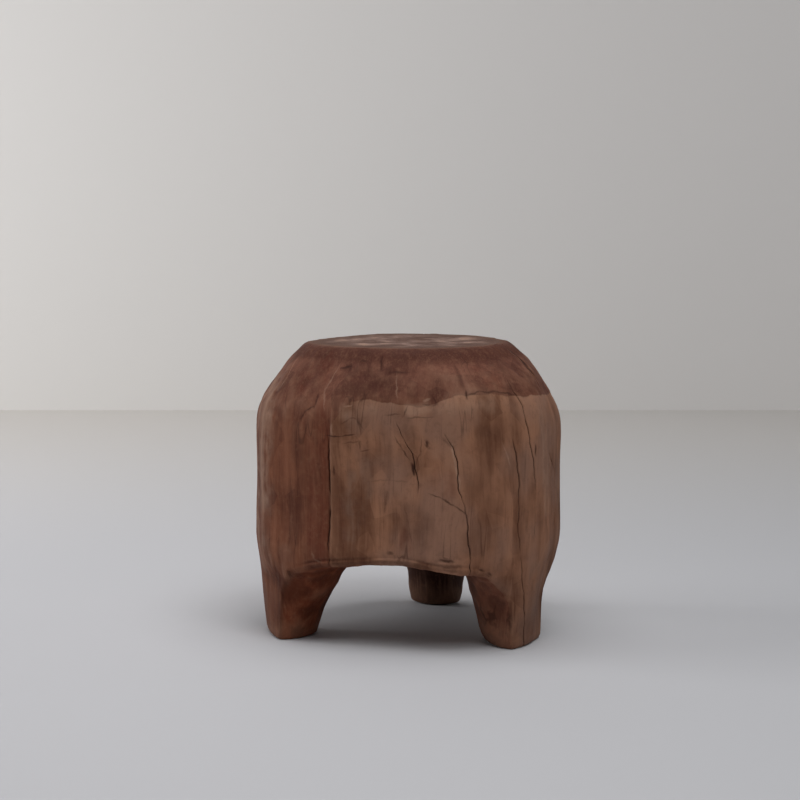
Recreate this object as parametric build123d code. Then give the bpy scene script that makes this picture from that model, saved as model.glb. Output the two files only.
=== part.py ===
from build123d import *
import os
from math import atan2, cos, degrees, radians, sin

# Carved three-legged stool, hewn from one upright log.
# The whole stool is one piece of timber: a flat end-grain seat, hewn shoulders that fall away from it,
# upright flanks, and three stubby legs left standing where the underside was chopped out.
# Millimetres, +Z up, origin on the floor under the middle of the stool.  The open front between two legs
# faces -Y, and the third leg stands at the back on +Y.

# ---- the log ----------------------------------------------------------------------------------------
stool_height = 400.0  # floor to seat
log_radius = 216.0  # middle to the face of the log
corner_round = 48.0  # radius left on the upright corners of the log
leg_lean = 13.0  # how far the outer face of a leg has come in by the time it nears the floor
knee_lean = 8.0  # and how far it has come in at the knee
lean_height = 130.0  # where that lean starts

# Upright corners of the log: degrees from +X, how far each stands out past log_radius, how far below the
# seat its hewn shoulder ends, the shoulder's fall in degrees, and its share of the lean.  Three corners
# belong to each leg, and long flanks join the legs.
corners = [
    (181.0, 1.0, 84.0, 55.0, 1.0),
    (213.0, -2.0, 81.0, 55.0, 1.0),
    (246.0, -26.0, 64.0, 58.0, 1.0),
    (303.0, -1.0, 62.0, 61.0, 1.0),
    (334.0, 3.0, 74.0, 60.0, 1.3),
    (365.0, -2.0, 82.0, 60.0, 1.7),
    (419.0, -7.0, 76.0, 58.0, 1.4),
    (449.0, 4.0, 84.0, 58.0, 1.0),
    (479.0, -6.0, 80.0, 57.0, 1.0),
]

# ---- the legs and the hollow between them -----------------------------------------------------------
rim_height = 113.0  # floor to the lower edge of the flanks
hollow_rise = 17.0  # how much higher the underside is in the middle
hollow_reach = 130.0  # radius where the underside starts to rise
rim_bevel = 7.0  # bevel on the lower edge of the flanks
foot_bevel = 3.0  # chopped edge round the foot

# Levels of a leg: the floor, the top of the chopped foot, the shin, and the arch's levels, which are set from
# the rim.  Widening is how far each kind of side has moved outwards at each level: a flare spreads steadily
# into the underside, and a cheek stays upright and then turns out under a ledge.
foot_ease = 10.0
shin_height = 45.0
arch_steps = [-37.0, -19.0, -7.0, 5.0, 21.0]
leg_levels = [0.0, foot_ease, shin_height] + [rim_height + step for step in arch_steps]
widening = {
    "flare": [-3.0, 0.0, 11.0, 27.0, 38.0, 53.0, 84.0, 134.0],
    "inner": [-6.0, 0.0, 5.0, 13.0, 20.0, 33.0, 78.0, 130.0],
    "cheek": [-3.0, 0.0, 0.5, 11.0, 31.0, 60.0, 108.0, 150.0],
    "ledge": [-3.0, 0.0, 0.5, 8.0, 22.0, 78.0, 115.0, 150.0],
    "outer": [0.0, 0.0, 0.0, 0.0, 0.0, 0.0, 0.0, 0.0],
}

left_foot = 166.4  # middle of the log to the middle of each foot
right_foot = 164.2
back_foot = 196.0

# Each leg: the middle of its foot as degrees from +X and distance from the middle of the log, then its
# sides as the bearing each one faces, its distance from the middle of the foot, and its kind.  The outer
# side lies past the face of the log, which bounds the leg there.
legs = {
    "left": (205.6, left_foot, [
        (206.0, 92.0, "outer"), (281.0, 44.0, "ledge"), (306.0, 40.0, "flare"), (328.0, 38.0, "flare"),
        (358.0, 37.5, "flare"), (40.0, 41.0, "flare"), (92.0, 41.0, "cheek"),
    ]),
    "right": (337.8, right_foot, [
        (335.0, 92.0, "outer"), (85.0, 41.0, "cheek"), (145.0, 41.0, "flare"), (193.0, 39.0, "inner"),
        (207.0, 37.5, "inner"), (226.0, 39.5, "inner"), (254.0, 45.0, "cheek"),
    ]),
    "back": (89.4, back_foot, [
        (90.0, 62.0, "outer"), (188.0, 40.5, "cheek"), (208.0, 40.5, "inner"), (236.0, 39.5, "inner"),
        (272.0, 39.0, "flare"), (312.0, 39.5, "inner"), (352.0, 38.5, "inner"),
    ]),
}

# Flat cuts low on the outer face of a leg: degrees from +X, the distance from the middle of the log, how
# high they stay upright, and how high they run out.
foot_cuts = [(220.0, 192.0, 85.0, 130.0)]
cut_width = 140.0  # how wide such a cut's tool is

# ---- the hewn shoulders -----------------------------------------------------------------------------
seat_radius = 138.0  # middle to the edge of the flat seat
seat_cuts = 15  # flat axe cuts round the edge of the seat
seat_slope = 36.0  # their fall below the horizontal, in degrees
corner_ease = 10.0  # how much further in the main cuts go on the corners of the log
cheek_slope = 72.0  # fall of the steep cuts below them on the corners
unevenness = 2.0  # how far the cuts wander in and out
waste = 40.0  # how far a cut's tool reaches past the face of the log
overrun = 1.0  # and past the floor


def around(azimuth, distance):
    """A plan point at a bearing and a distance from the middle."""
    return (distance * cos(radians(azimuth)), distance * sin(radians(azimuth)))


def log_outline(height, inset, lean):
    """The log's rounded outline at a height, drawn in by an inset all round and by each corner's lean."""
    points = [around(azimuth, log_radius + proud - inset - lean * share) for azimuth, proud, _, _, share in corners]
    outline = make_face(Polyline(*points, close=True))
    return Pos(0, 0, height) * fillet(outline.vertices(), corner_round)


def make_log():
    """The upright log before hewing: straight above, leaning in a little towards the floor."""
    levels = [
        (0, foot_bevel, leg_lean),
        (foot_bevel, 0, leg_lean),
        (lean_height / 2, 0, knee_lean),
        (lean_height, 0, 0),
        (stool_height, 0, 0),
    ]
    return loft([log_outline(*level) for level in levels], ruled=True)


def axe_cut(solid, point, azimuth, slope):
    """One flat cut through a point, falling outwards at a bearing; what lies above it is taken off."""
    out_x, out_y = around(azimuth, sin(radians(slope)))
    blade = Plane(origin=point, z_dir=(out_x, out_y, cos(radians(slope))))
    return split(solid, bisect_by=blade, keep=Keep.BOTTOM)


def hew_shoulders(log):
    """The main cuts, one on each face and corner of the log, then the ring round the seat."""
    for index, (azimuth, proud, drop, fall, _) in enumerate(corners):
        wander = unevenness * sin(2.4 * index)
        x, y = around(azimuth, log_radius + proud - corner_ease + wander)
        log = axe_cut(log, (x, y, stool_height - drop), azimuth, fall)
        log = axe_cut(log, (x, y, stool_height - drop), azimuth, cheek_slope)
        next_azimuth, next_proud, next_drop, next_fall, _ = corners[(index + 1) % len(corners)]
        here = around(azimuth, log_radius + proud)
        there = around(next_azimuth, log_radius + next_proud)
        facing = degrees(atan2(here[0] - there[0], there[1] - here[1]))
        height = stool_height - (drop + next_drop) / 2
        middle = ((here[0] + there[0]) / 2, (here[1] + there[1]) / 2, height)
        log = axe_cut(log, middle, facing, (fall + next_fall) / 2)
    for index in range(seat_cuts):
        azimuth = 360 * index / seat_cuts
        x, y = around(azimuth, seat_radius + unevenness * sin(1.7 * index))
        log = axe_cut(log, (x, y, stool_height), azimuth, seat_slope)
    return log


def leg_outline(height, level, middle, sides):
    """One level of a leg: the corners where its sides, moved out as far as they have there, meet in turn."""
    lines = [(azimuth, distance + widening[kind][level]) for azimuth, distance, kind in sides]
    points = []
    for (here, near), (there, far) in zip(lines, lines[1:] + lines[:1]):
        turn = sin(radians(there - here))
        x = (near * sin(radians(there)) - far * sin(radians(here))) / turn
        y = (far * cos(radians(here)) - near * cos(radians(there))) / turn
        points.append((middle[0] + x, middle[1] + y))
    return Pos(0, 0, height) * make_face(Polyline(*points, close=True))


def make_leg_core(azimuth, distance, sides):
    """What the carver leaves standing for one leg, reaching out past the face of the log."""
    middle = around(azimuth, distance)
    outlines = [leg_outline(height, level, middle, sides) for level, height in enumerate(leg_levels)]
    return loft(outlines, ruled=True)


def make_foot_cut(azimuth, distance, upright, top):
    """A flat cut up the outside of a leg that runs out to the face of the log."""
    outer = log_radius + waste
    profile = Polyline(
        (distance, -overrun),
        (outer, -overrun),
        (outer, top),
        (log_radius, top),
        (distance, upright),
        close=True,
    )
    slab = extrude(Plane.XZ * make_face(profile), cut_width / 2, both=True)
    return Rot(0, 0, azimuth) * slab


def make_hollow():
    """What is chopped away under the seat, between the legs and round the bevelled rim."""
    outer = log_radius + waste
    profile = Polyline(
        (0, -overrun),
        (outer, -overrun),
        (outer, rim_height),
        (hollow_reach, rim_height),
        (0, rim_height + hollow_rise),
        close=True,
    )
    hollow = revolve(Plane.XZ * make_face(profile), Axis.Z)
    lean = knee_lean * (lean_height - rim_height) / (lean_height / 2)
    ring = Pos(0, 0, rim_height) * extrude(Circle(outer), rim_bevel)
    kept = loft(
        [log_outline(rim_height, rim_bevel, lean), log_outline(rim_height + rim_bevel, 0, lean)],
        ruled=True,
    )
    hollow += ring - kept
    for leg in legs.values():
        hollow -= make_leg_core(*leg)
    for cut in foot_cuts:
        hollow += make_foot_cut(*cut)
    return hollow


def make_stool():
    """The stool, one solid, set with the middle of its box over the origin."""
    stool = hew_shoulders(make_log()) - make_hollow()
    box = stool.bounding_box()
    return Pos(-(box.min.X + box.max.X) / 2, -(box.min.Y + box.max.Y) / 2, 0) * stool


os.makedirs("parts", exist_ok=True)
stool = make_stool()
export_step(stool, "parts/carved_log.step")
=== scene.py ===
import math
import bpy
import numpy as np
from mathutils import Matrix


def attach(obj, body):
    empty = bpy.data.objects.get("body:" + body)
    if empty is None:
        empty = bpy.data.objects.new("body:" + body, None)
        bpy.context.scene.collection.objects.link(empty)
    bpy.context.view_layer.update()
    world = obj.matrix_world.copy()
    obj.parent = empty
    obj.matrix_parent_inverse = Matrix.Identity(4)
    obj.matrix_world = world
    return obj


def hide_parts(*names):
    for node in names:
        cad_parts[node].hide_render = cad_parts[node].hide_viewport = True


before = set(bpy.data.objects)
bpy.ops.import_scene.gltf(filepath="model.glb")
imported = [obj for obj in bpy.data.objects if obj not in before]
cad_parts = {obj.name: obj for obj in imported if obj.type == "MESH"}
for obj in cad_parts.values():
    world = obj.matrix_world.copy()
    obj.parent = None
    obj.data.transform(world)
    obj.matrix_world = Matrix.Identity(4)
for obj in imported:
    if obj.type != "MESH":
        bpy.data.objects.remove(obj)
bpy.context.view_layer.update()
scene = bpy.context.scene
print("the packed log is loaded")


# The log in millimetres and degrees, bearings and distances taken from the pith.
log = {
    "pith": (0.63, -18.62),  # where the pith stands on the floor
    "height": 400,  # floor to seat
    "flanks": [  # upright faces: bearing, distance
        (197.5, 208), (213, 211), (241.2, 190.3), (267.6, 177.6), (303, 208.5), (316.6, 211), (334, 215),
        (353.3, 213), (33.3, 191), (68.5, 206.5), (89, 217), (109, 207), (148.4, 183),
    ],
    "flankSoftness": 5,  # how round the corners between them are worn
    "shoulders": [  # sloping cuts: bearing, distance where they end, drop below the seat there, fall
        (197.5, 208, 82, 55), (181, 206, 84, 55), (213, 207, 81, 55), (241.2, 190, 72, 56),
        (246, 179, 64, 58), (267.6, 177.6, 62, 59.5), (303, 208, 62, 61), (316.6, 212, 67, 60.5),
        (334, 211, 73, 60), (353.3, 215, 77.5, 60), (5, 207, 82, 60), (33.3, 191, 79, 59),
        (59, 201, 76, 58), (68.5, 206, 80, 58), (89, 211, 84, 58), (109, 206.8, 82, 57.5),
        (119, 200.7, 80, 57), (148.4, 183, 82, 56), (197.5, 216, 100, 72), (230, 201, 92, 72),
        (318, 215, 84, 73), (353.3, 215.5, 96, 73), (89, 216, 100, 72),
    ],
    "shoulderSoftness": 4,
    "browSoftness": 5,  # how round the brow is where a shoulder meets a flank
    "seatRadius": 138,  # pith to the edge of the flat seat
    "seatFall": 36,  # fall of the ring of cuts just outside it
    "seatCuts": 15,
    "seatWobble": 2,  # how far those cuts stray in and out
    # how far the outer faces have come in at these heights, and the right leg between these bearings
    "leanHeights": (0, 11, 28, 45, 61, 78, 95, 112, 130, 145),
    "lean": (13, 12.5, 11, 8.5, 7, 6, 4.5, 2, 0, 0),
    "leanRight": (20.5, 20.5, 20.5, 20.5, 19, 15, 11, 7.5, 3.5, 2),
    "rightSpan": (330, 350, 390, 415),
    "footCuts": [(220, (0, 40, 85, 130), (195, 192, 192, 215))],  # bearing, heights, distances there
    "footSoftness": 3,
    "rimBevel": 7,  # chopped edge along the rim
    "footBevel": 2,
    "edgeRound": 3,  # wear on every edge
    "sideRadius": 200,  # what the side is unrolled from, for lines and stains
}

# Legs: the centre of the foot from the pith, then the edges of its outline: the bearing each one faces,
# its distance from that centre, and how it spreads with height.
legs = {
    "left": ((-150, -72), [
        (281, 45.5, "leftCheek"), (306, 42.5, "flare"), (328, 40, "flare"), (358, 39.5, "flare"),
        (40, 42, "flare"), (92, 42, "rightCheek"),
    ]),
    "right": ((152, -62), [
        (145, 43, "flare"), (193, 41.5, "rightInner"), (207, 40.5, "rightInner"),
        (226, 42.5, "rightInner"), (254, 47.5, "rightCheek"), (85, 42, "rightCheek"),
    ]),
    "back": ((2, 196), [
        (188, 43, "rightCheek"), (208, 43, "backInner"), (236, 42.5, "backInner"), (272, 43.5, "flare"),
        (312, 43, "backInner"), (352, 42, "backInner"),
    ]),
}

# How the edges spread: height, and how far an edge has moved out there.
spread = {
    "flare": [
        (0, -3), (3, -0.5), (8, 0), (32, 5.6), (53, 14), (70, 24), (87, 32), (98, 40), (108, 56),
        (116, 78), (132, 125), (150, 150),
    ],
    "leftCheek": [
        (0, -3), (3, -0.5), (8, 0), (45, 0.5), (70, 4), (88, 17), (97, 25), (102, 48), (106, 80),
        (118, 130), (150, 150),
    ],
    "rightCheek": [
        (0, -3), (3, -0.5), (8, 0), (47, 0.5), (62, 4), (77, 12), (94, 31), (106, 60), (114, 90),
        (122, 130), (150, 150),
    ],
    "rightInner": [
        (0, -8), (4, -5.5), (14, 0), (40, 4), (60, 8.5), (76, 13), (91, 18), (103, 27), (112, 48),
        (120, 90), (150, 150),
    ],
    "backInner": [
        (0, -5), (3, -2), (9, 0), (40, 3.5), (60, 7), (76, 12), (91, 18), (103, 27), (112, 48), (120, 90),
        (150, 150),
    ],
    "cornerSoftness": 5,
    "rootSoftness": 6,  # hollow where a leg runs into the underside
}

# The chopped underside: the rim's height at bearings round the log, and how it rises inside.
hollow = {
    "rim": [
        (0, 114), (40, 112), (75, 114), (140, 112), (200, 113), (248, 112), (262, 116), (280, 118),
        (292, 114), (305, 109), (330, 112), (360, 114),
    ],
    "rise": 18,
    "reach": 175,  # distance from the pith where it starts to rise
    "level": 40,  # and where it is level again
    "searchFrom": 150,  # height below which the underside is looked for
}

# Drying cracks: the bearing of each one's own column in the grid, then the (height, bearing, depth) it
# runs through; heights past the seat's run inwards over it.
cracks = {
    "rightFlank": (28, [(330, 28, 0), (318, 28.5, 2.5), (260, 27, 3.5), (190, 28.5, 3), (150, 28, 0)]),
    "rightBack": (62, [(300, 62, 0), (280, 62.5, 2.5), (180, 61, 3), (90, 63, 2), (60, 63, 0)]),
    "backLeg": (90, [
        (480, 93, 0), (430, 92, 1.2), (400, 91, 2), (330, 90, 3), (210, 89, 4), (90, 91, 3), (0, 92, 2),
    ]),
    "leftBack": (128.5, [(350, 128, 0), (330, 128, 2), (240, 129.5, 3.5), (160, 128, 2), (130, 128, 0)]),
    "leftFlank": (159.5, [(280, 160, 0), (255, 160, 2.5), (190, 158.5, 3), (125, 160, 2), (0, 160, 0)]),
    "leftLeg": (182, [
        (335, 182, 0), (310, 181.5, 2), (240, 183, 3), (150, 181.5, 3), (118, 182, 1.5), (100, 182, 0),
    ]),
    "panelEdge": (248.2, [
        (440, 246, 0), (305, 247, 0), (287, 247.4, 1), (262, 247.9, 3), (242, 247.8, 3.5),
        (209, 248.7, 2.5), (184, 248.7, 3.5), (156, 247.7, 2), (116, 247.5, 1.5), (100, 247, 0),
    ]),
    "frontSplit": (282, [
        (440, 276, 0), (310, 277, 0), (304, 277, 1), (285, 280.3, 1.8), (266, 283.5, 2.5),
        (236, 285.5, 2.5), (214, 286, 0),
    ]),
    "frontRight": (302, [
        (440, 294, 0), (296, 295, 0), (289, 295.6, 1.5), (277, 298.4, 2.5), (262, 299.5, 2.5),
        (235, 300.2, 2.5), (219, 300.2, 1.5), (198, 302.9, 3), (181, 303.4, 3), (149, 304.1, 3),
        (118, 305, 2.5), (90, 306, 0),
    ]),
    "rightLeg": (325.4, [
        (440, 320, 0), (292, 322, 0), (273, 323, 2.5), (254, 324.4, 3), (229, 325.3, 4),
        (178, 325.4, 3.5), (160, 324.9, 3.5), (136, 326.1, 2), (117, 327, 2.5), (79, 329.5, 3),
        (46, 331.2, 3), (0, 333.5, 3),
    ]),
    "rightUpper": (333, [
        (440, 324, 0), (366, 324.7, 0), (356, 325, 1.5), (346, 325.4, 2), (328, 327.7, 3),
        (301, 329.4, 3.5), (278, 330.9, 3), (260, 332.1, 2.5), (226, 334, 1.5), (156, 334.1, 1),
        (140, 334.5, 0), (0, 339.5, 0),
    ]),
    "rightShoulder": (350, [
        (460, 360, 0), (430, 357, 1.5), (400, 351, 2), (390, 346.5, 2.5), (380, 347.8, 3.5),
        (365, 344, 4.5), (356, 345, 3.5), (344, 345.5, 0), (262, 345.5, 0), (251, 346, 2),
        (230, 352.5, 2), (186, 352.8, 2), (157, 352.5, 1), (146, 352, 0), (100, 348.5, 0),
    ]),
}
wander = ((0.22, 6.1, 2.1), (0.12, 2.3, 5))  # a crack's waves: degrees, length, turn between cracks

# Lines that columns also follow, to meet a leg's corners upright, given in the same way.
rails = {
    "frontCorner": (320.5, [(440, 316), (292, 317.5), (178, 321), (130, 323.5), (110, 324.4)]),
    "sideCorner": (355.5, [
        (440, 364), (400, 360), (380, 356), (230, 357.5), (150, 357), (125, 355), (108, 353.6),
    ]),
}

# Tool marks and unevenness: how far apart, how deep.
tooling = {
    "lumps": (78, 1.5),
    "dents": (31, 0.55),
    "shoulderScoops": ((34, 34, 40), 2.4),
    "flankScoops": ((42, 42, 120), 1.1),
    "underScoops": ((26, 26, 24), 4),
    "ridges": ((7, 7, 90), 0.45),
    "gouges": {"deep": 1.3, "least": 1.5, "spread": 1.6},  # dark lines at least this half width, widened
    "rimCrease": 1.6,  # a shallow cut above the rim
    "rimLip": 0.7,  # and the swelling below it
    "seatBack": 3,  # how much higher the back of the seat is
    "panelStep": 1.2,  # how proud the front panel stands of the split beside it
    "panelValley": 2.6,  # how far the thigh falls in towards that split
}

# Thin lines on the wood, the light ones partly painted highlight along crack lips and edges that catch
# light and partly pale marks: half width, strength, then the bearing and height of each point on their way.
strokes = {
    "dark": [
        (1.2, 0.7, (246.8, 287), (254, 287), (258.7, 291)),
        (1.2, 0.5, (254.9, 279), (261.1, 281), (261.7, 271)), (1.1, 0.5, (262, 269), (265.4, 271)),
        (1, 0.4, (253.5, 303), (257.2, 311), (260.1, 310), (262.8, 298)),
        (1.3, 0.6, (276.9, 286), (279.3, 274), (282, 262)), (1.9, 0.9, (283.5, 253), (284.4, 241)),
        (1.1, 0.5, (287, 286), (287, 269), (284.7, 251)), (1.3, 0.5, (273.1, 317), (278.2, 318)),
        (1.2, 0.5, (281.5, 327), (279.9, 315)), (1.1, 0.5, (282, 314), (290.9, 315)),
        (1.3, 0.5, (288.1, 331), (291, 329), (292.8, 332), (291.5, 340)),
        (1.8, 0.4, (295.4, 287), (297.9, 277)),
        (1.2, 0.65, (290.6, 215), (294.9, 210), (298.7, 202), (302.7, 190)),
        (2, 0.35, (273.1, 212), (271.9, 191)), (1.2, 0.3, (265.4, 229), (275.5, 232), (281.1, 230)),
        (1.6, 0.6, (250.4, 246), (250.4, 238)), (1.8, 0.7, (248.6, 189), (248.6, 181)),
        (2.2, 0.8, (294.5, 129), (298, 128)), (2, 0.6, (273.5, 136), (275.3, 136)),
        (1, 0.35, (280.6, 198), (282.4, 172), (283.3, 150)), (1, 0.35, (285.5, 242), (285.8, 213)),
        (1.4, 0.6, (304.6, 344), (309.6, 347), (316.7, 346), (324.9, 340)),
        (2.8, 0.45, (303.1, 376), (303, 353)), (1.8, 0.8, (304, 347), (303.8, 340)),
        (1.3, 0.6, (348.7, 396), (353.7, 384)), (3, 0.9, (350.6, 381), (348.8, 373)),
        (3, 0.9, (347.5, 369), (348, 359)), (1.6, 0.7, (333.9, 271), (333.8, 261)),
        (1, 0.5, (347.8, 250), (350.4, 233)), (2, 0.7, (247, 374), (252.2, 376)),
        (1.5, 0.6, (257.6, 383), (260.4, 384)), (1.8, 0.7, (268.5, 388), (269.1, 376)),
        (1.3, 0.4, (255.9, 379), (256.9, 370)), (1.3, 0.4, (261.3, 381), (262.6, 370)),
        (1.6, 0.5, (273.6, 370), (281.3, 370)),
        (1.5, 0.6, (233.9, 308), (235.6, 317), (239.7, 324), (240, 338)),
        (1.2, 0.45, (222.6, 337), (225.7, 315)), (0.9, 0.6, (320.5, 55), (321.1, 34)),
        (0.9, 0.6, (321.9, 56), (322.9, 32)), (0.9, 0.6, (323.7, 54), (324.6, 31)),
        (1.5, 0.6, (308.9, 115), (310.6, 112)), (1.5, 0.6, (312.6, 109), (314, 106)),
        (1.5, 0.7, (289.3, 284), (289.3, 278)), (1, 0.4, (228.5, 166), (228.4, 135)),
        (1.2, 0.6, (36, 262), (41, 258), (43, 240)), (1.2, 0.6, (70, 236), (75, 230)),
        (1.3, 0.6, (118, 268), (125, 272), (127, 255)), (1, 0.5, (145, 300), (146, 262)),
        (1.2, 0.6, (165, 222), (172, 217)), (1, 0.5, (197, 280), (199, 236)),
        (1.2, 0.5, (8, 246), (9, 196)), (1.2, 0.6, (150, 188), (158, 193)),
    ],
    # painted highlight along lit crack lips and edges, and pale marks
    "light": [
        (1.3, 0.45, (276.6, 364), (277.2, 341)), (0.9, 0.5, (213.6, 378), (216.8, 358), (216.3, 345)),
        (2.2, 0.6, (249.5, 302), (249.5, 289)), (1.8, 0.85, (298.1, 278), (298.7, 262)),
        (1.8, 0.8, (298.7, 264), (300.6, 229)), (1.3, 0.6, (318.3, 273), (320.7, 250)),
        (1.2, 0.6, (255, 326), (257.3, 328)), (2, 0.6, (288.2, 336), (290, 338)),
        (1.4, 0.45, (244.9, 374), (242.6, 343), (244.9, 322)),
        (1.6, 0.4, (240.1, 130), (240.9, 122), (243.7, 119)), (1.2, 0.5, (345, 254), (347.8, 236)),
        (1.4, 0.5, (348.3, 389), (349.5, 384)), (1.3, 0.5, (20, 280), (21, 236)),
        (1.3, 0.5, (135, 246), (136, 205)),
    ],
}

# Soft stains, and down the left edge pale and grey patches that are a painted highlight, given the same
# way.
stainsAndRimLight = {
    "soot": [
        (5, 0.8, (350.5, 388), (348.8, 373), (347.5, 361)),
        (12, 0.35, (278.6, 313), (283.5, 285), (285.1, 253)), (7, 0.25, (307.7, 293), (315.1, 293)),
        (5, 0.45, (250, 121), (300, 120)), (14, 0.15, (308.5, 279), (310.9, 246)),
        (22, 0.45, (234, 374), (222, 350)), (9, 0.35, (253, 349), (261.6, 345)),
        (7, 0.3, (264.8, 353), (273, 356)), (4.5, 0.6, (324.7, 58), (325.3, 39)),
        (22, 0.2, (308, 235), (309, 150)), (20, 0.25, (288, 165), (275, 200)),
        (12, 0.35, (60, 240), (66, 200)), (10, 0.3, (140, 250), (150, 262)),
    ],
    "pale": [
        # the first two are a painted highlight down the left edge
        (18, 0.45, (201, 335), (203, 125)), (16, 0.35, (214, 320), (212, 190)),
        (10, 0.35, (340, 310), (343, 180)), (8, 0.5, (282.3, 323), (292.9, 325)),
        (14, 0.3, (299.2, 335), (317.5, 333)), (12, 0.25, (255, 319), (266.6, 325)),
        (12, 0.3, (20, 312), (38, 310)), (12, 0.3, (130, 300), (144, 306)),
    ],
    "rust": [
        (10, 0.9, (243.1, 322), (244.3, 294)), (9, 0.5, (280.7, 161), (280.7, 144)),
        (6, 0.4, (253.3, 197), (254.1, 144)), (14, 0.45, (293.2, 247), (296.3, 222)),
        (18, 0.8, (243.5, 290), (242.5, 132)), (14, 0.4, (100, 240), (103, 190)),
        (12, 0.5, (313, 368), (318, 352)), (20, 0.7, (236, 370), (224, 345)),
    ],
    "grey": [
        # the first is a painted highlight down the left edge
        (34, 0.7, (207, 335), (209, 120)), (16, 0.25, (225, 125), (227, 85)),
        (12, 0.4, (336, 105), (338, 45)), (20, 0.55, (260.2, 240), (259.5, 160)),
        (14, 0.4, (45, 250), (46, 190)), (10, 0.4, (257, 313), (258.5, 296)),
    ],
}
stainStray = ((0.35, 16, 61), (0.17, 6, 62))  # how their edges stray: share of the width, length, seed

# The grid: how many columns go round the log and how many rows each stretch of a column gets.
grid = {
    "columns": 764,
    "seatRows": 14, "sideRows": 60, "lowerRows": 22, "underRows": 34,
    "lowerFrom": 130,  # height at which the side's lower rows start
    "fineSteps": (90, 260, 190),  # what the rows are picked from: steps over the seat, down, and under
    "front": (236, 250, 350, 362),  # bearings between which columns stand closer
    "cheeks": (77, 101, 188.5, 218, 320.5, 355.5),  # and of the legs' upright sides, where they crowd
    "cheekBlend": 1.4,  # columns over which such a side is spread
}
underFrom = grid["seatRows"] + grid["sideRows"] + grid["lowerRows"]  # the first row under the log


def softMost(values, softness):
    # smooth largest of several arrays: k log of the sum of exp(value / k)
    return softness * np.log(sum(np.exp(value / softness) for value in values))


def softLeast(values, softness):
    # smooth smallest: -k log of the sum of exp(-value / k)
    return -softMost([-value for value in values], softness)


def ease(value, low, high):
    # 0 below low, 1 above high, and 3t2 - 2t3 between
    t = np.clip((value - low) / (high - low), 0, 1)
    return t * t * (3 - 2 * t)


def crackBearing(bearing, run):
    # bearings bent so that a column follows each crack or rail: at its column the bend is (its line +
    # two sine waves for a crack - the column's bearing), shared in proportion between neighbours
    lines = sorted((home, sorted(path), strays) for strays, group in enumerate((rails, cracks))
                   for home, path in group.values())
    bent = bearing + 0 * run
    for index, (home, path, strays) in enumerate(lines):
        before = (home - lines[index - 1][0]) % 360
        after = (lines[(index + 1) % len(lines)][0] - home) % 360
        away = (bearing - home + 180) % 360 - 180
        share = np.clip(1 - np.maximum(away / after, -away / before), 0, 1)
        line = np.interp(run, *np.array(path).T[:2])
        stray = sum(width * np.sin(run / length + turn * index) for width, length, turn in wander)
        bent = bent + share * (line + strays * stray - home)
    return bent


def sideReach(bearing, height):
    # distance from the pith to the log's side: each flat cut lies at its distance / cos(bearing - its own),
    # where a sloping cut's distance grows by 1 / tan(fall) per millimetre down, and the nearest cut counts
    top = log["height"]
    least, faraway = 0.15, 4000.0  # a cut at a smaller cosine than the first lies at the second

    def towards(cutBearing, distance):
        facing = np.cos(np.radians(bearing - cutBearing))
        return np.where(facing > least, distance / np.maximum(facing, least), faraway)

    flanks = [towards(a, d + 0 * height) for a, d in log["flanks"]]
    slopes = [towards(a, d + (top - drop - height) / math.tan(math.radians(fall)))
              for a, d, drop, fall in log["shoulders"]]
    seatSlope = (top - height) / math.tan(math.radians(log["seatFall"]))
    for cut in range(log["seatCuts"]):
        edge = log["seatRadius"] + log["seatWobble"] * math.sin(1.7 * cut)
        slopes.append(towards(360 * cut / log["seatCuts"], edge + seatSlope))
    flank, slope = softLeast(flanks, log["flankSoftness"]), softLeast(slopes, log["shoulderSoftness"])
    reach = softLeast([flank, slope], log["browSoftness"])

    start, full, last, end = log["rightSpan"]
    turned = (bearing - start) % 360
    right = ease(turned, 0, full - start) * (1 - ease(turned, last - start, end - start))
    lean, leanRight = [np.interp(height, log["leanHeights"], log[way]) for way in ("lean", "leanRight")]
    reach = reach - lean * (1 - right) - leanRight * right
    cuts = [towards(cutBearing, np.interp(height, *cut)) for cutBearing, *cut in log["footCuts"]]
    return softLeast([reach] + cuts, log["footSoftness"])


def legHeight(x, y, centre, edges):
    # height z at which a leg's growing outline first takes in a plan point, found by halving: it does
    # where the smooth largest of (place along each edge's bearing - its distance - its spread at z) is 0
    low, high = np.full(x.shape, -1.0), np.full(x.shape, hollow["searchFrom"] - 1.0)
    sides = []
    for edgeBearing, distance, kind in edges:
        a = math.radians(edgeBearing)
        sides.append((math.cos(a) * (x - centre[0]) + math.sin(a) * (y - centre[1]) - distance, kind))
    for halving in range(11):
        middle = (low + high) / 2
        grown = {kind: np.interp(middle, *zip(*spread[kind])) for side, kind in sides}
        beyond = softMost([np.minimum(side - grown[kind], 160) for side, kind in sides],
                          spread["cornerSoftness"])
        low, high = np.where(beyond > 0, middle, low), np.where(beyond > 0, high, middle)
    return np.maximum((low + high) / 2, 0)


def underHeight(x, y):
    # height of the underside: the smooth smallest of the hollow's, rim + rise * (1 - ease), and the legs'
    far = np.hypot(x, y)
    bearing = np.degrees(np.arctan2(y, x)) % 360
    rim = np.interp(bearing, *zip(*hollow["rim"]))
    roof = rim + hollow["rise"] * (1 - ease(far, hollow["level"], hollow["reach"]))
    return softLeast([roof] + [legHeight(x, y, centre, edges) for centre, edges in legs.values()],
                     spread["rootSoftness"])


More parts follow.
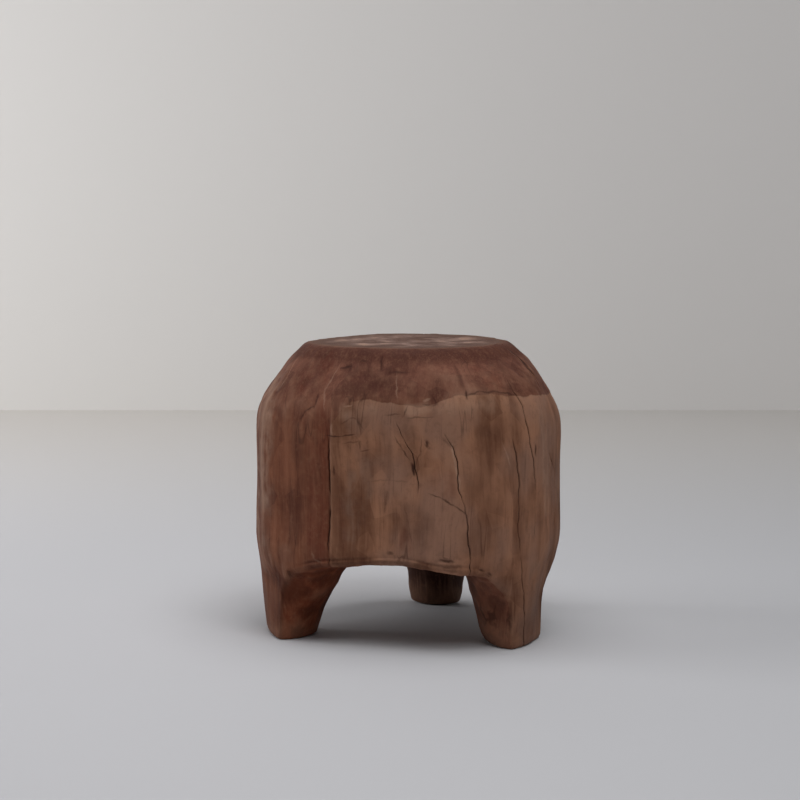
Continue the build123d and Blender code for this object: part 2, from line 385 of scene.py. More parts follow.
def columnBearings(count):
    # bearings of the columns: even steps of the running total of how closely they are wanted, and the
    # nearest one to each crack moved on to it
    fine = np.linspace(0, 360, 7201)
    start, full, last, end = grid["front"]
    wanted = 1 + 0.9 * ease(fine, start, full) * (1 - ease(fine, last, end))
    for cheek in grid["cheeks"]:
        wanted = wanted + 1.2 * np.exp(-((fine - cheek) / 4) ** 2)
    for home, path in cracks.values():
        away = (fine - home + 180) % 360 - 180
        wanted = wanted + 1.2 * np.exp(-(away / 1.5) ** 2)
    total = np.concatenate([[0], np.cumsum((wanted[1:] + wanted[:-1]) / 2)])
    bearing = np.interp(np.arange(count) / count, total / total[-1], fine)
    crackColumn = {}
    for name, (home, path) in cracks.items():
        crackColumn[name] = int(np.argmin(np.abs(bearing - home)))
        bearing[crackColumn[name]] = home
    return bearing[None, :], crackColumn


def lookUp(asked, places, values, **ends):
    # values at the asked places, column by column, on straight lines between the given places
    wide = [np.broadcast_to(v, (len(v), grid["columns"])) for v in (asked, places, values)]
    return np.stack([np.interp(*[v[:, j] for v in wide], **ends) for j in range(grid["columns"])], axis=1)


def evenSteps(curves, count):
    # each column of a curve (reach, height, ...) at equal steps of its own running length
    step = np.hypot(np.diff(curves[0], axis=0), np.diff(curves[1], axis=0)) + 1e-6
    length = np.concatenate([0 * step[:1], np.cumsum(step, axis=0)])
    return [lookUp(np.linspace(0, 1, count)[:, None], length / length[-1], values) for values in curves]


def bell(width):
    # weights of a bell-shaped average: exp(-x2 / 2 width2), x up to three widths either way, sum 1
    reach = int(3 * width) + 1
    weights = np.exp(-0.5 * (np.arange(-reach, reach + 1) / width) ** 2)
    return weights / weights.sum()


def blurRows(values, width):
    # that average down the rows, width in rows, mirrored past both ends
    weights = bell(width)
    reach = len(weights) // 2
    before = 2 * values[:1] - values[reach:0:-1]
    after = 2 * values[-1:] - values[-2:-reach - 2:-1]
    padded = np.concatenate([before, values, after])
    return sum(w * padded[i:i + len(values)] for i, w in enumerate(weights))


def blurRound(values, width):
    # the same average round the columns, which close on themselves
    weights = bell(width)
    reach = len(weights) // 2
    return sum(w * np.roll(values, i - reach, axis=1) for i, w in enumerate(weights))


def logSurface():
    # distance from the pith, height, bearing and run for every grid point: each column's curve goes over
    # the seat, down the side until it meets the underside, and inwards under the log
    home, crackColumn = columnBearings(grid["columns"])
    column = np.arange(grid["columns"])
    height = np.linspace(log["height"], 0, 401)[:, None]
    bearing = crackBearing(home, height)
    side = sideReach(bearing, height)
    low = height[:, 0] <= hollow["searchFrom"]
    turn = np.radians(bearing[low])
    under = underHeight(side[low] * np.cos(turn), side[low] * np.sin(turn))
    clear = height[low] - under
    below = np.argmax(clear < 0, axis=0)
    below = np.where((clear < 0).any(axis=0), below, low.sum() - 1)
    above = clear[below - 1, column]
    share = np.clip(above / np.maximum(above - clear[below, column], 1e-6), 0, 1)
    edge = np.maximum(height[low][below - 1, 0] - share, 0)  # height of the lower edge of each column

    depth = np.linspace(0, 1, 281)[:, None]
    sideHeight = log["height"] - (log["height"] - edge) * depth
    sideOut = lookUp(sideHeight, height[::-1], side[::-1])
    bevel = log["footBevel"] + (log["rimBevel"] - log["footBevel"]) * ease(edge, 60, 105)
    sideOut = sideOut - bevel * np.clip(1 - (sideHeight - edge) / bevel, 0, 1)

    seatSteps, sideSteps, underSteps = grid["fineSteps"]
    seatOut = np.linspace(0, 1, seatSteps + 1)[:, None] * sideOut[0]
    seatRun = log["height"] + sideOut[0] - seatOut
    underOut = np.linspace(1, 0, 241)[:, None] * sideOut[-1]
    leaned = lookUp(underOut, side[low][::-1], height[low][::-1], left=0)
    underBearing = crackBearing(home, edge) + 0 * underOut
    for again in range(3):  # a column keeps following its crack until it has been down to its lowest point
        underTurn = np.radians(underBearing)
        underUp = underHeight(underOut * np.cos(underTurn), underOut * np.sin(underTurn))
        underUp = np.maximum(underUp, leaned)
        underBearing = crackBearing(home, np.minimum.accumulate(underUp, axis=0))

    overSeat = (seatOut, np.full_like(seatOut, log["height"]), crackBearing(home, seatRun), seatRun)
    downSide = (sideOut, sideHeight, crackBearing(home, sideHeight), sideHeight)
    inwards = (underOut, underUp, underBearing, -1 + 0 * underOut)
    downSide, inwards = evenSteps(downSide, sideSteps + 1), evenSteps(inwards, underSteps + 1)
    out, up, bearing, run = [np.concatenate([overSeat[i], downSide[i][1:], inwards[i][1:]])
                             for i in range(4)]
    softness = log["edgeRound"] / 1.5
    out, up = blurRows(out, softness), blurRows(up, softness)

    # rows of the grid as steps along the curves: over the seat, down to a common height, down to the
    # lower edge, and at common radii inwards, so that neighbouring columns stay level
    seatEnd, sideEnd = np.cumsum(grid["fineSteps"])[:2]
    step, onSide = np.arange(len(out))[:, None], slice(seatEnd, sideEnd + 1)
    lowest = lookUp([[-grid["lowerFrom"]]], -up[onSide], step[onSide])
    radii = out[sideEnd] * (1 - np.linspace(0, 1, grid["underRows"] + 2)[1:-1, None] ** 1.15)
    rows = np.concatenate([
        np.linspace(0, 1, grid["seatRows"] + 1)[1:, None] ** 0.75 * seatEnd + 0 * lowest,
        seatEnd + np.linspace(0, 1, grid["sideRows"] + 1)[1:, None] * (lowest - seatEnd),
        lowest + np.linspace(0, 1, grid["lowerRows"] + 1)[1:, None] * (sideEnd - lowest),
        lookUp(-radii, -out[sideEnd:], step[sideEnd:]),
    ])
    first = np.clip(rows.astype(int), 0, len(out) - 2)
    part = rows - first
    out, up, bearing, run = [
        np.take_along_axis(v, first, 0) * (1 - part) + np.take_along_axis(v, first + 1, 0) * part
        for v in (out, up, bearing, run)]
    out, up = blurRound(out, grid["cheekBlend"]), blurRound(up, grid["cheekBlend"])
    return np.maximum(out, 0.5), up, bearing, run, crackColumn


def around(out, up, bearing):
    # points from distance, height and bearing
    turn = np.radians(bearing)
    return np.stack([out * np.cos(turn), out * np.sin(turn), up], axis=-1)


def gridNormals(points):
    # outward normals: steps down the log x steps round it, made 1 long
    downStep = np.gradient(points, axis=0)
    roundStep = np.roll(points, -1, axis=1) - np.roll(points, 1, axis=1)
    normal = np.cross(downStep, roundStep)
    return normal / np.maximum(np.linalg.norm(normal, axis=-1, keepdims=True), 1e-9)


def blockKey(block):
    # a number below 4096 for each block of space, from its three whole-number places
    return (block[..., 0] * 73856093 ^ block[..., 1] * 19349663 ^ block[..., 2] * 83492791) & 4095


def drift(points, size, seed):
    # smooth random field: random values at the corners of blocks, eased between with 3t2 - 2t3
    table = np.random.default_rng(seed).random(4096) * 2 - 1
    place = points / np.asarray(size)
    block = np.floor(place).astype(np.int64)
    part = place - block
    part = part * part * (3 - 2 * part)
    total = 0
    for corner in np.ndindex(2, 2, 2):
        weight = np.prod(np.where(np.array(corner) > 0, part, 1 - part), axis=-1)
        total = total + table[blockKey(block + corner)] * weight
    return total


def scoops(points, size, seed):
    # tool marks: each block has one strayed point, and the squared distance to the nearest of them is 0 in
    # the middle of a scoop and most on the ridge between two; each scoop also has a tone of its own
    table = np.random.default_rng(seed).random((4096, 4))
    place = points / np.asarray(size)
    block = np.floor(place).astype(np.int64)
    least, tone = np.full(points.shape[:-1], 9.0), np.zeros(points.shape[:-1])
    for corner in np.ndindex(3, 3, 3):
        here = block + corner - 1
        key = blockKey(here)
        far = ((place - here - 0.1 - 0.8 * table[key, :3]) ** 2).sum(axis=-1)
        least, tone = np.minimum(far, least), np.where(far < least, table[key, 3], tone)
    return least, tone


def stained(bearing, run, points, patches):
    # how stained each point is: full within a patch, easing out past its width, whose edge strays; far is
    # the distance on the unrolled side to the nearest point of each segment of its path
    total = np.zeros_like(run)
    stray = sum(share * drift(points, size, seed) for share, size, seed in stainStray)
    for width, strength, *path in patches:
        for start, end in zip(path, path[1:]):
            across = np.radians((bearing - start[0] + 180) % 360 - 180) * log["sideRadius"]
            above = run - start[1]
            stepAcross, stepAbove = math.radians(end[0] - start[0]) * log["sideRadius"], end[1] - start[1]
            share = (across * stepAcross + above * stepAbove) / (stepAcross ** 2 + stepAbove ** 2)
            share = np.clip(share, 0, 1)
            far = np.hypot(across - share * stepAcross, above - share * stepAbove) + stray * width
            total = np.maximum(total, strength * (1 - ease(far, 0.5 * width, 1.3 * width)))
    return total


# The greyer, weathered faces: the upper edge as (bearing, height), and the bearings that each one spans.
panel = {
    "top": [
        (0, 332), (20, 326), (45, 322), (75, 318), (120, 318), (150, 318), (180, 322), (215, 312),
        (246, 292), (248.2, 296), (250, 306), (252, 316), (254.7, 325), (257.2, 333), (264.2, 336),
        (278.2, 331), (285.5, 328), (293, 334), (296.9, 339), (300.5, 343), (313.8, 343), (328, 337),
        (345, 334), (360, 332),
    ],
    "spans": [(248.2, 0.5, 420, 8), (114, 5, 174, 4)],  # start, its softness, end, its softness
    "ragged": (2.5, 14, 31),  # how far the upper edge strays, over what length, and its seed
    "crooked": (1.5, 25, 33),  # the same for the upright ends, in degrees
}


def panelSides(bearing, points):
    # how far inside a weathered face a point is: its distance from the nearer end / that end's softness
    most, size, seed = panel["crooked"]
    crack = panel["spans"][0][0]  # the first face ends straight on a crack
    strayed = bearing + most * drift(points, size, seed) * ease(np.abs(bearing - crack), 0.5, 6)
    inside = np.full_like(bearing, -2.0)
    for start, startSoft, end, endSoft in panel["spans"]:
        for whole in (0, 360):
            here = strayed + whole
            inside = np.maximum(inside, np.minimum((here - start) / startSoft, (end - here) / endSoft))
    return np.clip(inside, -2, 2)


def toolMarks(points, bearing, run, up, onSeat, onSide, flank):
    # how far tools and wear lift each point off the plain surface, the sum of drifts, scoops, the step at
    # the front panel, gouges and the crease above the rim; and the tone of the scoop that it lies in
    lift = sum(tooling[name][1] * drift(points, tooling[name][0], seed)
               for name, seed in (("lumps", 1), ("dents", 2)))
    tone = 0.5 * onSeat
    swirled = points + 5 * drift(points, 30, 20)[..., None]
    for name, where, seed in (("shoulderScoops", (1 - onSeat) * (1 - flank) * onSide, 3),
                              ("flankScoops", flank, 4), ("underScoops", 1 - onSide, 5)):
        size, deep = tooling[name]
        hollowed, own = scoops(swirled, size, seed)
        lift += deep * where * (hollowed - 0.3) * (0.2 + 0.8 * ease(up, 5, 35))
        tone += where * own
    size, deep = tooling["ridges"]
    lift += deep * (1 - onSeat) * onSide * drift(points, size, 6)
    lift = lift * (1 - 0.8 * onSeat)

    away = bearing - cracks["panelEdge"][0]
    along = onSide * ease(run, 105, 170) * (1 - ease(run, 300, 335))
    lift += tooling["panelStep"] * along * ease(away, -0.3, 1.2) * (1 - ease(away, 5, 20))
    lift -= tooling["panelValley"] * along * ease(away, -18, -1) * (1 - ease(away, 0, 1.2))

    gouge = tooling["gouges"]
    wide = [(gouge["spread"] * line[0], *line[1:]) for line in strokes["dark"] if line[0] >= gouge["least"]]
    lift -= gouge["deep"] * stained(bearing, run, points, wide) * onSide
    lowest = up[underFrom - 1]
    lip = onSide * ease(lowest, 95, 108) * (0.6 + 0.5 * drift(points, 40, 63))
    aboveRim = up - lowest
    crease = np.exp(-((aboveRim - 10.5 - 2 * drift(points, 22, 64)) / 2.2) ** 2)
    swelling = np.exp(-((aboveRim - 5) / 3.5) ** 2)
    return lift - tooling["rimCrease"] * lip * crease + tooling["rimLip"] * lip * swelling, tone


def openCracks(points, run, onSide, crackColumn):
    # how deep the cracks cut in, and how open they are from 0 to 1, in each one's column and its neighbours
    deep, split = np.zeros_like(run), np.zeros_like(run)
    uneven = np.clip(0.9 + 0.8 * drift(points, (1e6, 1e6, 13), 40), 0.4, 1.25)
    for name, (home, path) in cracks.items():
        heights, depths = np.array(sorted(path)).T[::2]
        here = np.interp(run, heights, depths) * uneven * onSide
        for step, share in ((0, 1.0), (-1, 0.25), (1, 0.25)):
            at = (crackColumn[name] + step) % grid["columns"]
            deep[:, at] += share * here[:, at]
            split[:, at] = np.maximum(split[:, at], share * np.clip(here[:, at] / 2.6, 0, 1))
    return deep, split


def carve():
    # the finished surface, and what its points know of themselves
    out, up, bearing, run, crackColumn = logSurface()
    points = around(out, up, bearing)
    normal = gridNormals(points)
    bearing = bearing % 360
    onSeat = ease(run, log["height"] - 1, log["height"] + 5)
    beneath = np.zeros_like(out)
    beneath[underFrom:] = 1
    beneath = blurRound(blurRows(beneath, 0.7), 1.0)
    onSide = 1 - beneath
    stray, size, seed = panel["ragged"]
    panelTop = np.interp(bearing, *zip(*panel["top"])) + stray * drift(points, size, seed)
    flank = ease(panelTop - run, -3, 3) * onSide

    lift, tone = toolMarks(points, bearing, run, up, onSeat, onSide, flank)
    deep, split = openCracks(points, run, onSide, crackColumn)
    points = points + normal * (lift - deep)[..., None]
    points[..., 2] += tooling["seatBack"] * ease(points[..., 1], -30, 120) * ease(run, 372, 400)
    points[..., 2] = np.maximum(points[..., 2], 0)

    smooth = blurRows(blurRound(points, 4.0), 1.6)
    bend = ((points - smooth) * gridNormals(smooth)).sum(axis=-1) + 0.9 * split
    panelUp = np.clip((panelTop - run) / 4, -2, 2)
    known = {
        "panel": np.minimum(panelUp, panelSides(bearing, points)) - 4 * beneath,
        "seat": onSeat,
        "beneath": beneath,
        "split": split,
        "tone": tone,
        "worn": np.clip(bend / 1.2, 0, 1) * (1 - 0.5 * onSeat),
        # how far a point lies in a hollow, which the wood darkens as painted shade
        "sunk": np.clip(-bend / 0.7, 0, 1),
    }
    # stains, and the painted highlight down the left edge, as numbers for the material
    for name, patches in stainsAndRimLight.items():
        known[name] = stained(bearing, run, points, patches) * onSide
    return points, known


def addObject(name, data):
    # puts a mesh, a camera or a lamp into the scene
    added = bpy.data.objects.new(name, data)
    scene.collection.objects.link(added)
    return added


def closedGrid(name, points, top, bottom):
    # mesh of a grid closed round its columns, with a fan of triangles to a point at each end
    rows, columns = points.shape[:2]
    corner = np.arange(rows * columns).reshape(rows, columns)
    right = np.roll(corner, -1, axis=1)
    quads = np.stack([corner[:-1], corner[1:], right[1:], right[:-1]], axis=-1).reshape(-1, 4)
    end = np.full(columns, rows * columns)
    fanTop = np.stack([end, corner[0], right[0]], axis=-1)
    fanBottom = np.stack([end + 1, right[-1], corner[-1]], axis=-1)
    faces = quads.tolist() + fanTop.tolist() + fanBottom.tolist()
    mesh = bpy.data.meshes.new(name)
    mesh.from_pydata(np.concatenate([points.reshape(-1, 3), [top, bottom]]), [], faces)
    mesh.shade_smooth()
    return addObject(name, mesh)


def addKnowledge(piece, name, values):
    # a number for each point, which the material reads; the two end points take their row's mean
    values = np.concatenate([values.ravel(), [values[0].mean(), values[-1].mean()]])
    layer = piece.data.attributes.new(name, "FLOAT", "POINT")
    layer.data.foreach_set("value", values.astype(np.float32))


points, knowledge = carve()
points = (points + (*log["pith"], 0)) / 1000
stool = closedGrid("hewnLog", points, points[0].mean(axis=0), points[-1].mean(axis=0))
for name, values in knowledge.items():
    addKnowledge(stool, name, values)
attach(stool, "root")
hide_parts("carved_log")
print("the log is carved:", len(stool.data.vertices), "points")


def linear(red, green, blue):
    # a colour written as on a screen, 0 to 255, in the renderer's own linear terms
    return tuple((c / 255 / 12.92 if c / 255 <= 0.04045 else ((c / 255 + 0.055) / 1.055) ** 2.4)
                 for c in (red, green, blue)) + (1.0,)


def unrolled(bearing, height):
    # a place on the unrolled side in metres, the side being cut open at bearing 180
    turn = (math.radians(bearing) + math.pi) % (2 * math.pi) - math.pi
    return np.array([turn * log["sideRadius"], height]) / 1000


class Wire:
    # an output socket that sums can be written with: each operator adds the Math node that does it
    def __init__(self, finish, socket):
        self.finish, self.socket = finish, socket

    def __add__(self, other):
        return self.finish.math("ADD", self, other)

    def __sub__(self, other):
        return self.finish.math("SUBTRACT", self, other)

    def __mul__(self, other):
        return self.finish.math("MULTIPLY", self, other)

    def __rsub__(self, other):
        return self.finish.math("SUBTRACT", other, self)

    __radd__, __rmul__ = __add__, __mul__

    def between(self, low, high):
        # 0 at low, 1 at high, eased between
        return self.finish.add("MapRange", {"Value": self, "From Min": low, "From Max": high},
                               interpolation_type="SMOOTHSTEP", clamp=False)


class Finish:
    # a material being built
    def __init__(self, name):
        self.material = bpy.data.materials.new(name)
        self.material.use_nodes = True
        self.tree = self.material.node_tree
        self.tree.nodes.clear()

    def add(self, kind, inputs, output=0, **settings):
        # a node with numbers or wires on its inputs; gives the wire of one output, a list of wires for
        # several, or the material from the node that ends it
        node = self.tree.nodes.new("ShaderNode" + kind)
        for name, value in settings.items():
            setattr(node, name, value)
        for name, value in inputs.items():
            if isinstance(value, Wire):
                self.tree.links.new(value.socket, node.inputs[name])
            else:
                node.inputs[name].default_value = value
        if not node.outputs:
            return self.material
        if isinstance(output, tuple):
            return [Wire(self, node.outputs[name]) for name in output]
        return Wire(self, node.outputs[output])

    def math(self, operation, *values):
        # maths on numbers and wires
        return self.add("Math", dict(enumerate(values)), operation=operation)

    def vector(self, operation, *values, output=0):
        # the same on vectors, each a wire or three numbers
        return self.add("VectorMath", dict(enumerate(values)), output, operation=operation)

    def lines(self, chart, ragged, strokes):
        # thin lines on the unrolled side: each piece is a long ellipse, strength - (u2 + v2), where u and v
        # are scaled distances along and across it from its middle, which the dot product takes off by the
        # chart's third number, 1
        total = 0.0
        for half, strength, *path in strokes:
            scale = math.sqrt(strength / 1.8)
            for start, end in zip(path, path[1:]):
                a, b = unrolled(*start), unrolled(*end)
                length = math.hypot(*(b - a))
                along = (b - a) / length
                across = np.array([-along[1], along[0]])
                squares = 0.0
                for axis, size in ((along, 0.62 * length + 0.001), (across, half / 1000)):
                    axis = axis * scale / size
                    u = self.vector("DOT_PRODUCT", chart, (*axis, -axis @ (a + b) / 2), output="Value")
                    squares = self.math("MULTIPLY_ADD", u, u, squares)
                total = self.math("MAXIMUM", strength - squares, total)
        return total + ragged

    def know(self, name):
        return self.add("Attribute", {}, "Fac", attribute_name=name)

    def noise(self, place, scale, detail, roughness=0.5, output="Fac"):
        settings = {"Vector": place, "Scale": scale, "Detail": detail, "Roughness": roughness}
        return self.add("TexNoise", settings, output)

    def blend(self, amount, first, second):
        # mixes two colours, each a wire or a colour
        return self.add("Mix", {0: amount, 6: first, 7: second}, 2, data_type="RGBA")


wood = {
    "hewn": (linear(78, 42, 32), linear(107, 66, 52)),
    "thigh": (linear(84, 43, 28), linear(124, 75, 53)),
    "weathered": (linear(103, 65, 46), linear(158, 112, 86)),
    "weatheredGrey": linear(136, 104, 89),
    "seat": (linear(78, 54, 45), linear(124, 100, 91)),
    "ring": linear(70, 34, 23),
    "under": (linear(72, 29, 13), linear(128, 64, 38)),
    "grey": linear(125, 99, 85),
    "rust": linear(92, 40, 25),
    "pale": linear(176, 142, 120),
    "worn": linear(158, 116, 90),
    "deep": linear(56, 25, 15),
    "dark": linear(36, 18, 13),
    "line": linear(46, 22, 14),
}
# Noises in the wood: how much each is drawn out upwards, then its scale, detail and roughness.
patterns = {
    "broad": (0.09, 13, 2, 0.55),
    "streak": (0.09, 60, 3, 0.6),
    "fine": (0.035, 420, 4, 0.65),
    "smear": (0.35, 36, 3, 0.55),
    "hair": (0.08, 30, 2, 0.5),
    "cloud": (1, 13, 3, 0.5),
    "blotch": (1, 34, 4, 0.55),
    "speck": (1, 120, 4, 0.65),
}


def woodFinish():
    f = Finish("hewnWood")
    place = f.vector("SUBTRACT", f.add("TexCoord", {}, "Object"), (*np.divide(log["pith"], 1000), 0))
    across, forward, up = f.add("SeparateXYZ", {0: place}, (0, 1, 2))
    swirl = f.vector("SUBTRACT", f.noise(place, 7, 2, output="Color"), (0.5, 0.5, 0.5))
    bent = f.vector("ADD", f.vector("MULTIPLY", swirl, (0.02, 0.02, 0.03)), place)
    noises = [f.noise(bent if drawn == 1 else f.vector("MULTIPLY", bent, (1, 1, drawn)), *settings)
              for drawn, *settings in patterns.values()]
    broad, streak, fine, smear, hair, cloud, blotch, speck = noises
    cells = f.vector("MULTIPLY", place, (1, 1, 0.7))
    cells = f.vector("ADD", f.vector("MULTIPLY", swirl, (0.05, 0.05, 0.09)), cells)
    patch = f.add("TexVoronoi", {"Vector": cells, "Scale": 30}, "Color")
    patch = f.add("SeparateColor", {0: patch})

    seat, beneath, tone = f.know("seat"), f.know("beneath"), f.know("tone")
    split, worn, sunk = f.know("split"), f.know("worn"), f.know("sunk")

    # hewn shoulders, redder thighs below, and the weathered faces, with a painted shadow line just above
    # their upper edge
    hewn = patch * 0.2 + blotch * 0.55 + tone * 0.1 + speck * 0.15
    hewn = f.blend(hewn.between(0.34, 0.66), *wood["hewn"])
    thigh = patch * 0.08 + streak * 0.4 + cloud * 0.22 + smear * 0.3
    thigh = f.blend(thigh.between(0.38, 0.62), *wood["thigh"])
    hewn = f.blend(up.between(0.36, 0.28), hewn, thigh)
    weathered = broad * 0.35 + streak * 0.2 + patch * 0.06 + tone * 0.06 + smear * 0.33
    weathered = f.blend(weathered.between(0.39, 0.61), *wood["weathered"])
    greyed = (cloud * 0.5 + broad * 0.5).between(0.46, 0.62)
    weathered = f.blend(greyed * 0.65, weathered, wood["weatheredGrey"])
    edge = f.know("panel") + (speck - 0.5) * 0.9 + (blotch - 0.5) * 0.8
    colour = f.blend(edge.between(-0.25, 0.25), hewn, weathered)
    # painted shadow: a dark line just outside the weathered faces' edge
    shadow = edge.between(0.3, 0.0) * edge.between(-0.5, -0.1) * blotch.between(0.4, 0.6)
    colour = f.blend(shadow * 0.35, colour, wood["deep"])

    # the smooth band round the seat, and painted shade darkening the feet near the floor
    ring = (up + (blotch - 0.5) * 0.012).between(0.377, 0.388) * (1 - seat)
    colour = f.blend(ring * 0.8, colour, wood["ring"])
    # painted shade: the lowest part of the legs darkened towards the floor
    colour = f.blend(up.between(0.13, 0.04) * 0.34, colour, wood["deep"])

    # end grain: rings, pale worn places in the middle, checks that run outwards, a dark edge
    flat = f.vector("MULTIPLY", place, (1, 1, 0))
    away = f.vector("LENGTH", flat, output="Value")
    rings = {"W": away + blotch * 0.012, "Scale": 330, "Detail": 2}
    rings = f.add("TexNoise", rings, "Fac", noise_dimensions="1D")
    checks = f.noise(f.vector("NORMALIZE", flat), 26, 3, 0.6)
    mottle = f.noise(place, 26, 4, 0.6)
    seatTone = mottle.between(0.36, 0.62) * (1 - 0.95 * away.between(0.08, 0.125)) + rings * 0.3 - 0.15
    endGrain = f.blend(seatTone, *wood["seat"])
    rubbed = mottle.between(0.56, 0.62) * away.between(0.12, 0.08)
    endGrain = f.blend(rubbed * 0.42, endGrain, wood["pale"])
    endGrain = f.blend((1 - checks.between(0.30, 0.42)) * 0.5, endGrain, wood["deep"])
    edgeLine = away.between(0.124, 0.130) * away.between(0.139, 0.134) * cloud.between(0.44, 0.56)
    endGrain = f.blend(edgeLine * 0.6, endGrain, wood["deep"])
    colour = f.blend(seat, colour, endGrain)

    # the raw underside, with painted shade deepening it towards the back leg, and greyer on the right leg
    inside = (speck * 0.3 + blotch * 0.4 + tone * 0.3).between(0.1, 0.8)
    # painted shade: the underside's tone, and then a near black, darken towards the back leg, which lies in
    # shadow under the seat
    inside = f.blend(inside * (1 - forward.between(-0.03, 0.08)), *wood["under"])
    inside = f.blend(forward.between(0.0, 0.12) * 0.75, inside, wood["dark"])
    rightLeg = across.between(0.03, 0.08) * forward.between(0.05, 0.0)
    inside = f.blend(rightLeg * 0.3, inside, wood["grey"])
    colour = f.blend(beneath * 0.95, colour, inside)

    # stains and painted highlights, grain, wear, thin lines, and painted shade in hollows and cracks
    bearing = f.math("ARCTAN2", forward, across)
    chart = f.add("CombineXYZ", {0: bearing * (log["sideRadius"] / 1000), 1: up, 2: 1})
    jitter = f.vector("SUBTRACT", f.noise(place, 90, 2, output="Color"), (0.5, 0.5, 0.5))
    chart = f.vector("ADD", chart, f.vector("MULTIPLY", jitter, (0.006, 0.006, 0)))
    ragged = (speck - 0.5) * 0.5
    hairline = f.math("ABSOLUTE", hair - 0.5).between(0.008, 0.002)
    patchBreakup = (blotch * 0.6 + streak * 0.4).between(0.38, 0.6)
    for mask, name in (
        # grey and pale patches: stains, and down the left edge a painted highlight
        (f.know("grey") * patchBreakup * 0.9, "grey"),
        (f.know("rust") * patchBreakup * 0.9, "rust"),
        (f.know("pale") * patchBreakup * 0.9, "pale"),
        (f.know("soot") * (0.3 + (speck * 0.5 + blotch * 0.5).between(0.4, 0.6)), "deep"),
        (speck.between(0.5, 0.68) * 0.1, "worn"),
        (speck.between(0.48, 0.32) * 0.16, "deep"),
        (fine.between(0.45, 0.7) * 0.1, "worn"),
        ((1 - fine.between(0.30, 0.46)) * 0.22, "deep"),
        (worn * (1 - ring) * 0.25, "worn"),
        # painted shade in hollows and creases, where the surface bends inwards
        (sunk * 0.4, "deep"),
        (hairline * cloud.between(0.52, 0.62) * (1 - beneath) * 0.4, "line"),
        # light lines: painted highlight on lit lips and edges, and pale marks
        (f.lines(chart, ragged, strokes["light"]).between(0, 1) * 0.55, "pale"),
        (f.lines(chart, ragged, strokes["dark"]).between(0, 1) * 0.9, "line"),
        # painted shade inside the open cracks
        ((split + (speck - 0.5) * 0.4).between(0.15, 0.6) * 0.9, "dark"),
    ):
        colour = f.blend(mask, colour, wood[name])

    rough = 0.72 + speck * 0.16 - worn * 0.12
    relief = fine * 0.6 + streak * 0.5 + speck * 0.4 + blotch * 0.6
    bump = f.add("Bump", {"Strength": 0.55, "Distance": 0.0012, "Height": relief})
    surface = {"Base Color": colour, "Roughness": rough, "Normal": bump, "Specular IOR Level": 0.18}
    return f.add("OutputMaterial", {"Surface": f.add("BsdfPrincipled", surface)})


stool.data.materials.append(woodFinish())
print("the wood is finished")


# Room: a pale floor and wall, with their colours at the left and right of the view; the colours carry
# painted light, brighter to the left and on the floor beside the wall.
room = {
    "wallBehind": 3.0,  # middle of the stool to the wall, metres
    "halfWidth": 9.0,
    "wallHeight": 6.0,
    "turn": 12.0,  # degrees by which the room and the camera are turned from the stool
    "floor": (linear(196, 196, 200), linear(177, 178, 182)),
    "farFloor": (linear(219, 215, 211), linear(208, 205, 202)),  # the same beside the wall
    "wall": (linear(210, 208, 206), linear(203, 201, 200)),
    "shade": 1.1,  # how far from the middle those are reached
    "fade": (0.3, 3.2),  # where the near floor ends and the far floor begins
}


def inRoom(across, away, up):
    # a point given across, away from the camera and up, turned into the stool's frame
    a = math.radians(room["turn"])
    return (across * math.cos(a) - away * math.sin(a), across * math.sin(a) + away * math.cos(a), up)


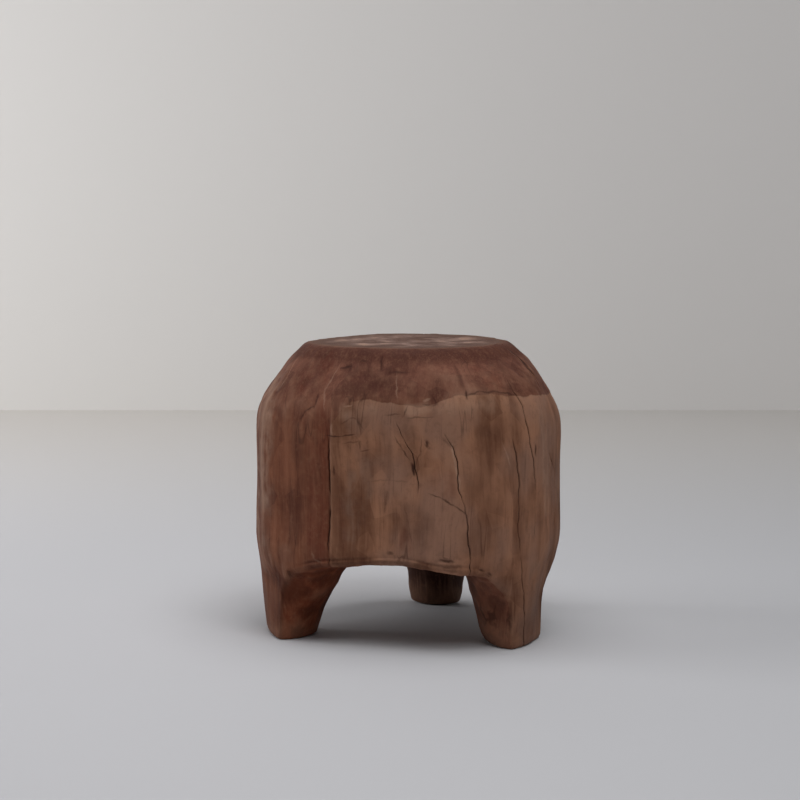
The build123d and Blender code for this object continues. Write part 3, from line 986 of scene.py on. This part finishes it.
def flatSheet(name, corners, near, far):
    # a flat face of the room, its colour passing from left to right and from near to far, a painted falloff
    # of light
    mesh = bpy.data.meshes.new(name)
    mesh.from_pydata([inRoom(*corner) for corner in corners], [], [(0, 1, 2, 3)])
    sheet = addObject(name, mesh)
    f = Finish(name)
    place = f.add("TexCoord", {}, "Object")
    across = f.vector("DOT_PRODUCT", place, inRoom(1, 0, 0), output="Value")
    away = f.vector("DOT_PRODUCT", place, inRoom(0, 1, 0), output="Value")
    across = across.between(-room["shade"], room["shade"])
    # painted light: brighter to the left of the view and towards the wall
    colour = f.blend(away.between(*room["fade"]), f.blend(across, *near), f.blend(across, *far))
    shader = f.add("BsdfPrincipled", {"Base Color": colour, "Roughness": 0.8})
    mesh.materials.append(f.add("OutputMaterial", {"Surface": shader}))


w, back, tall = room["halfWidth"], room["wallBehind"], room["wallHeight"]
floor, farFloor, wall = room["floor"], room["farFloor"], room["wall"]
flatSheet("floor", [(-w, -w, 0), (w, -w, 0), (w, back, 0), (-w, back, 0)], floor, farFloor)
flatSheet("wall", [(-w, back, 0), (w, back, 0), (w, back, tall), (-w, back, tall)], wall, wall)

view = {"place": (0.5511, -2.6593, 0.578), "down": 5.48, "lens": 88.33, "farthest": 60}
camera = addObject("camera", bpy.data.cameras.new("camera"))
camera.data.lens = view["lens"]
camera.data.clip_end = view["farthest"]
camera.location = view["place"]
camera.rotation_euler = (math.radians(90 - view["down"]), 0, math.radians(room["turn"]))
scene.camera = camera
scene.view_settings.view_transform = "Standard"

# Light: soft square lamps (place, what each one faces, size, power), and a faint warm glow all round.
lamps = {
    "overhead": (inRoom(0.15, -0.45, 3.1), (0, 0, 0.2), 2.6, 57),
    "front": (inRoom(0.75, -1.9, 3.1), (0, 0, 0.3), 1.5, 34),
    "window": (inRoom(-3.4, -0.2, 2.0), (0, 0, 0.3), 1.8, 33),
    "wallLight": (inRoom(-3.1, 0.8, 1.1), inRoom(-1.6, 3.0, 0.9), 1.4, 46),
    "wallRight": (inRoom(3.2, 1.0, 1.0), inRoom(1.4, 3.0, 0.7), 1.2, 9),
}
glow = {"Color": (1, 0.95, 0.9, 1), "Strength": 0.1}
world = bpy.data.worlds.new("roomLight")
world.use_nodes = True
for name, value in glow.items():
    world.node_tree.nodes["Background"].inputs[name].default_value = value
scene.world = world

for name, (place, target, size, power) in lamps.items():
    data = bpy.data.lights.new(name, "AREA")
    data.shape, data.size, data.energy = "SQUARE", size, power
    lamp = addObject(name, data)
    lamp.location = place
    x, y, z = np.subtract(target, place)
    lamp.rotation_euler = (math.pi / 2 + math.atan2(z, math.hypot(x, y)), 0, math.atan2(y, x) - math.pi / 2)
print("the room is lit")
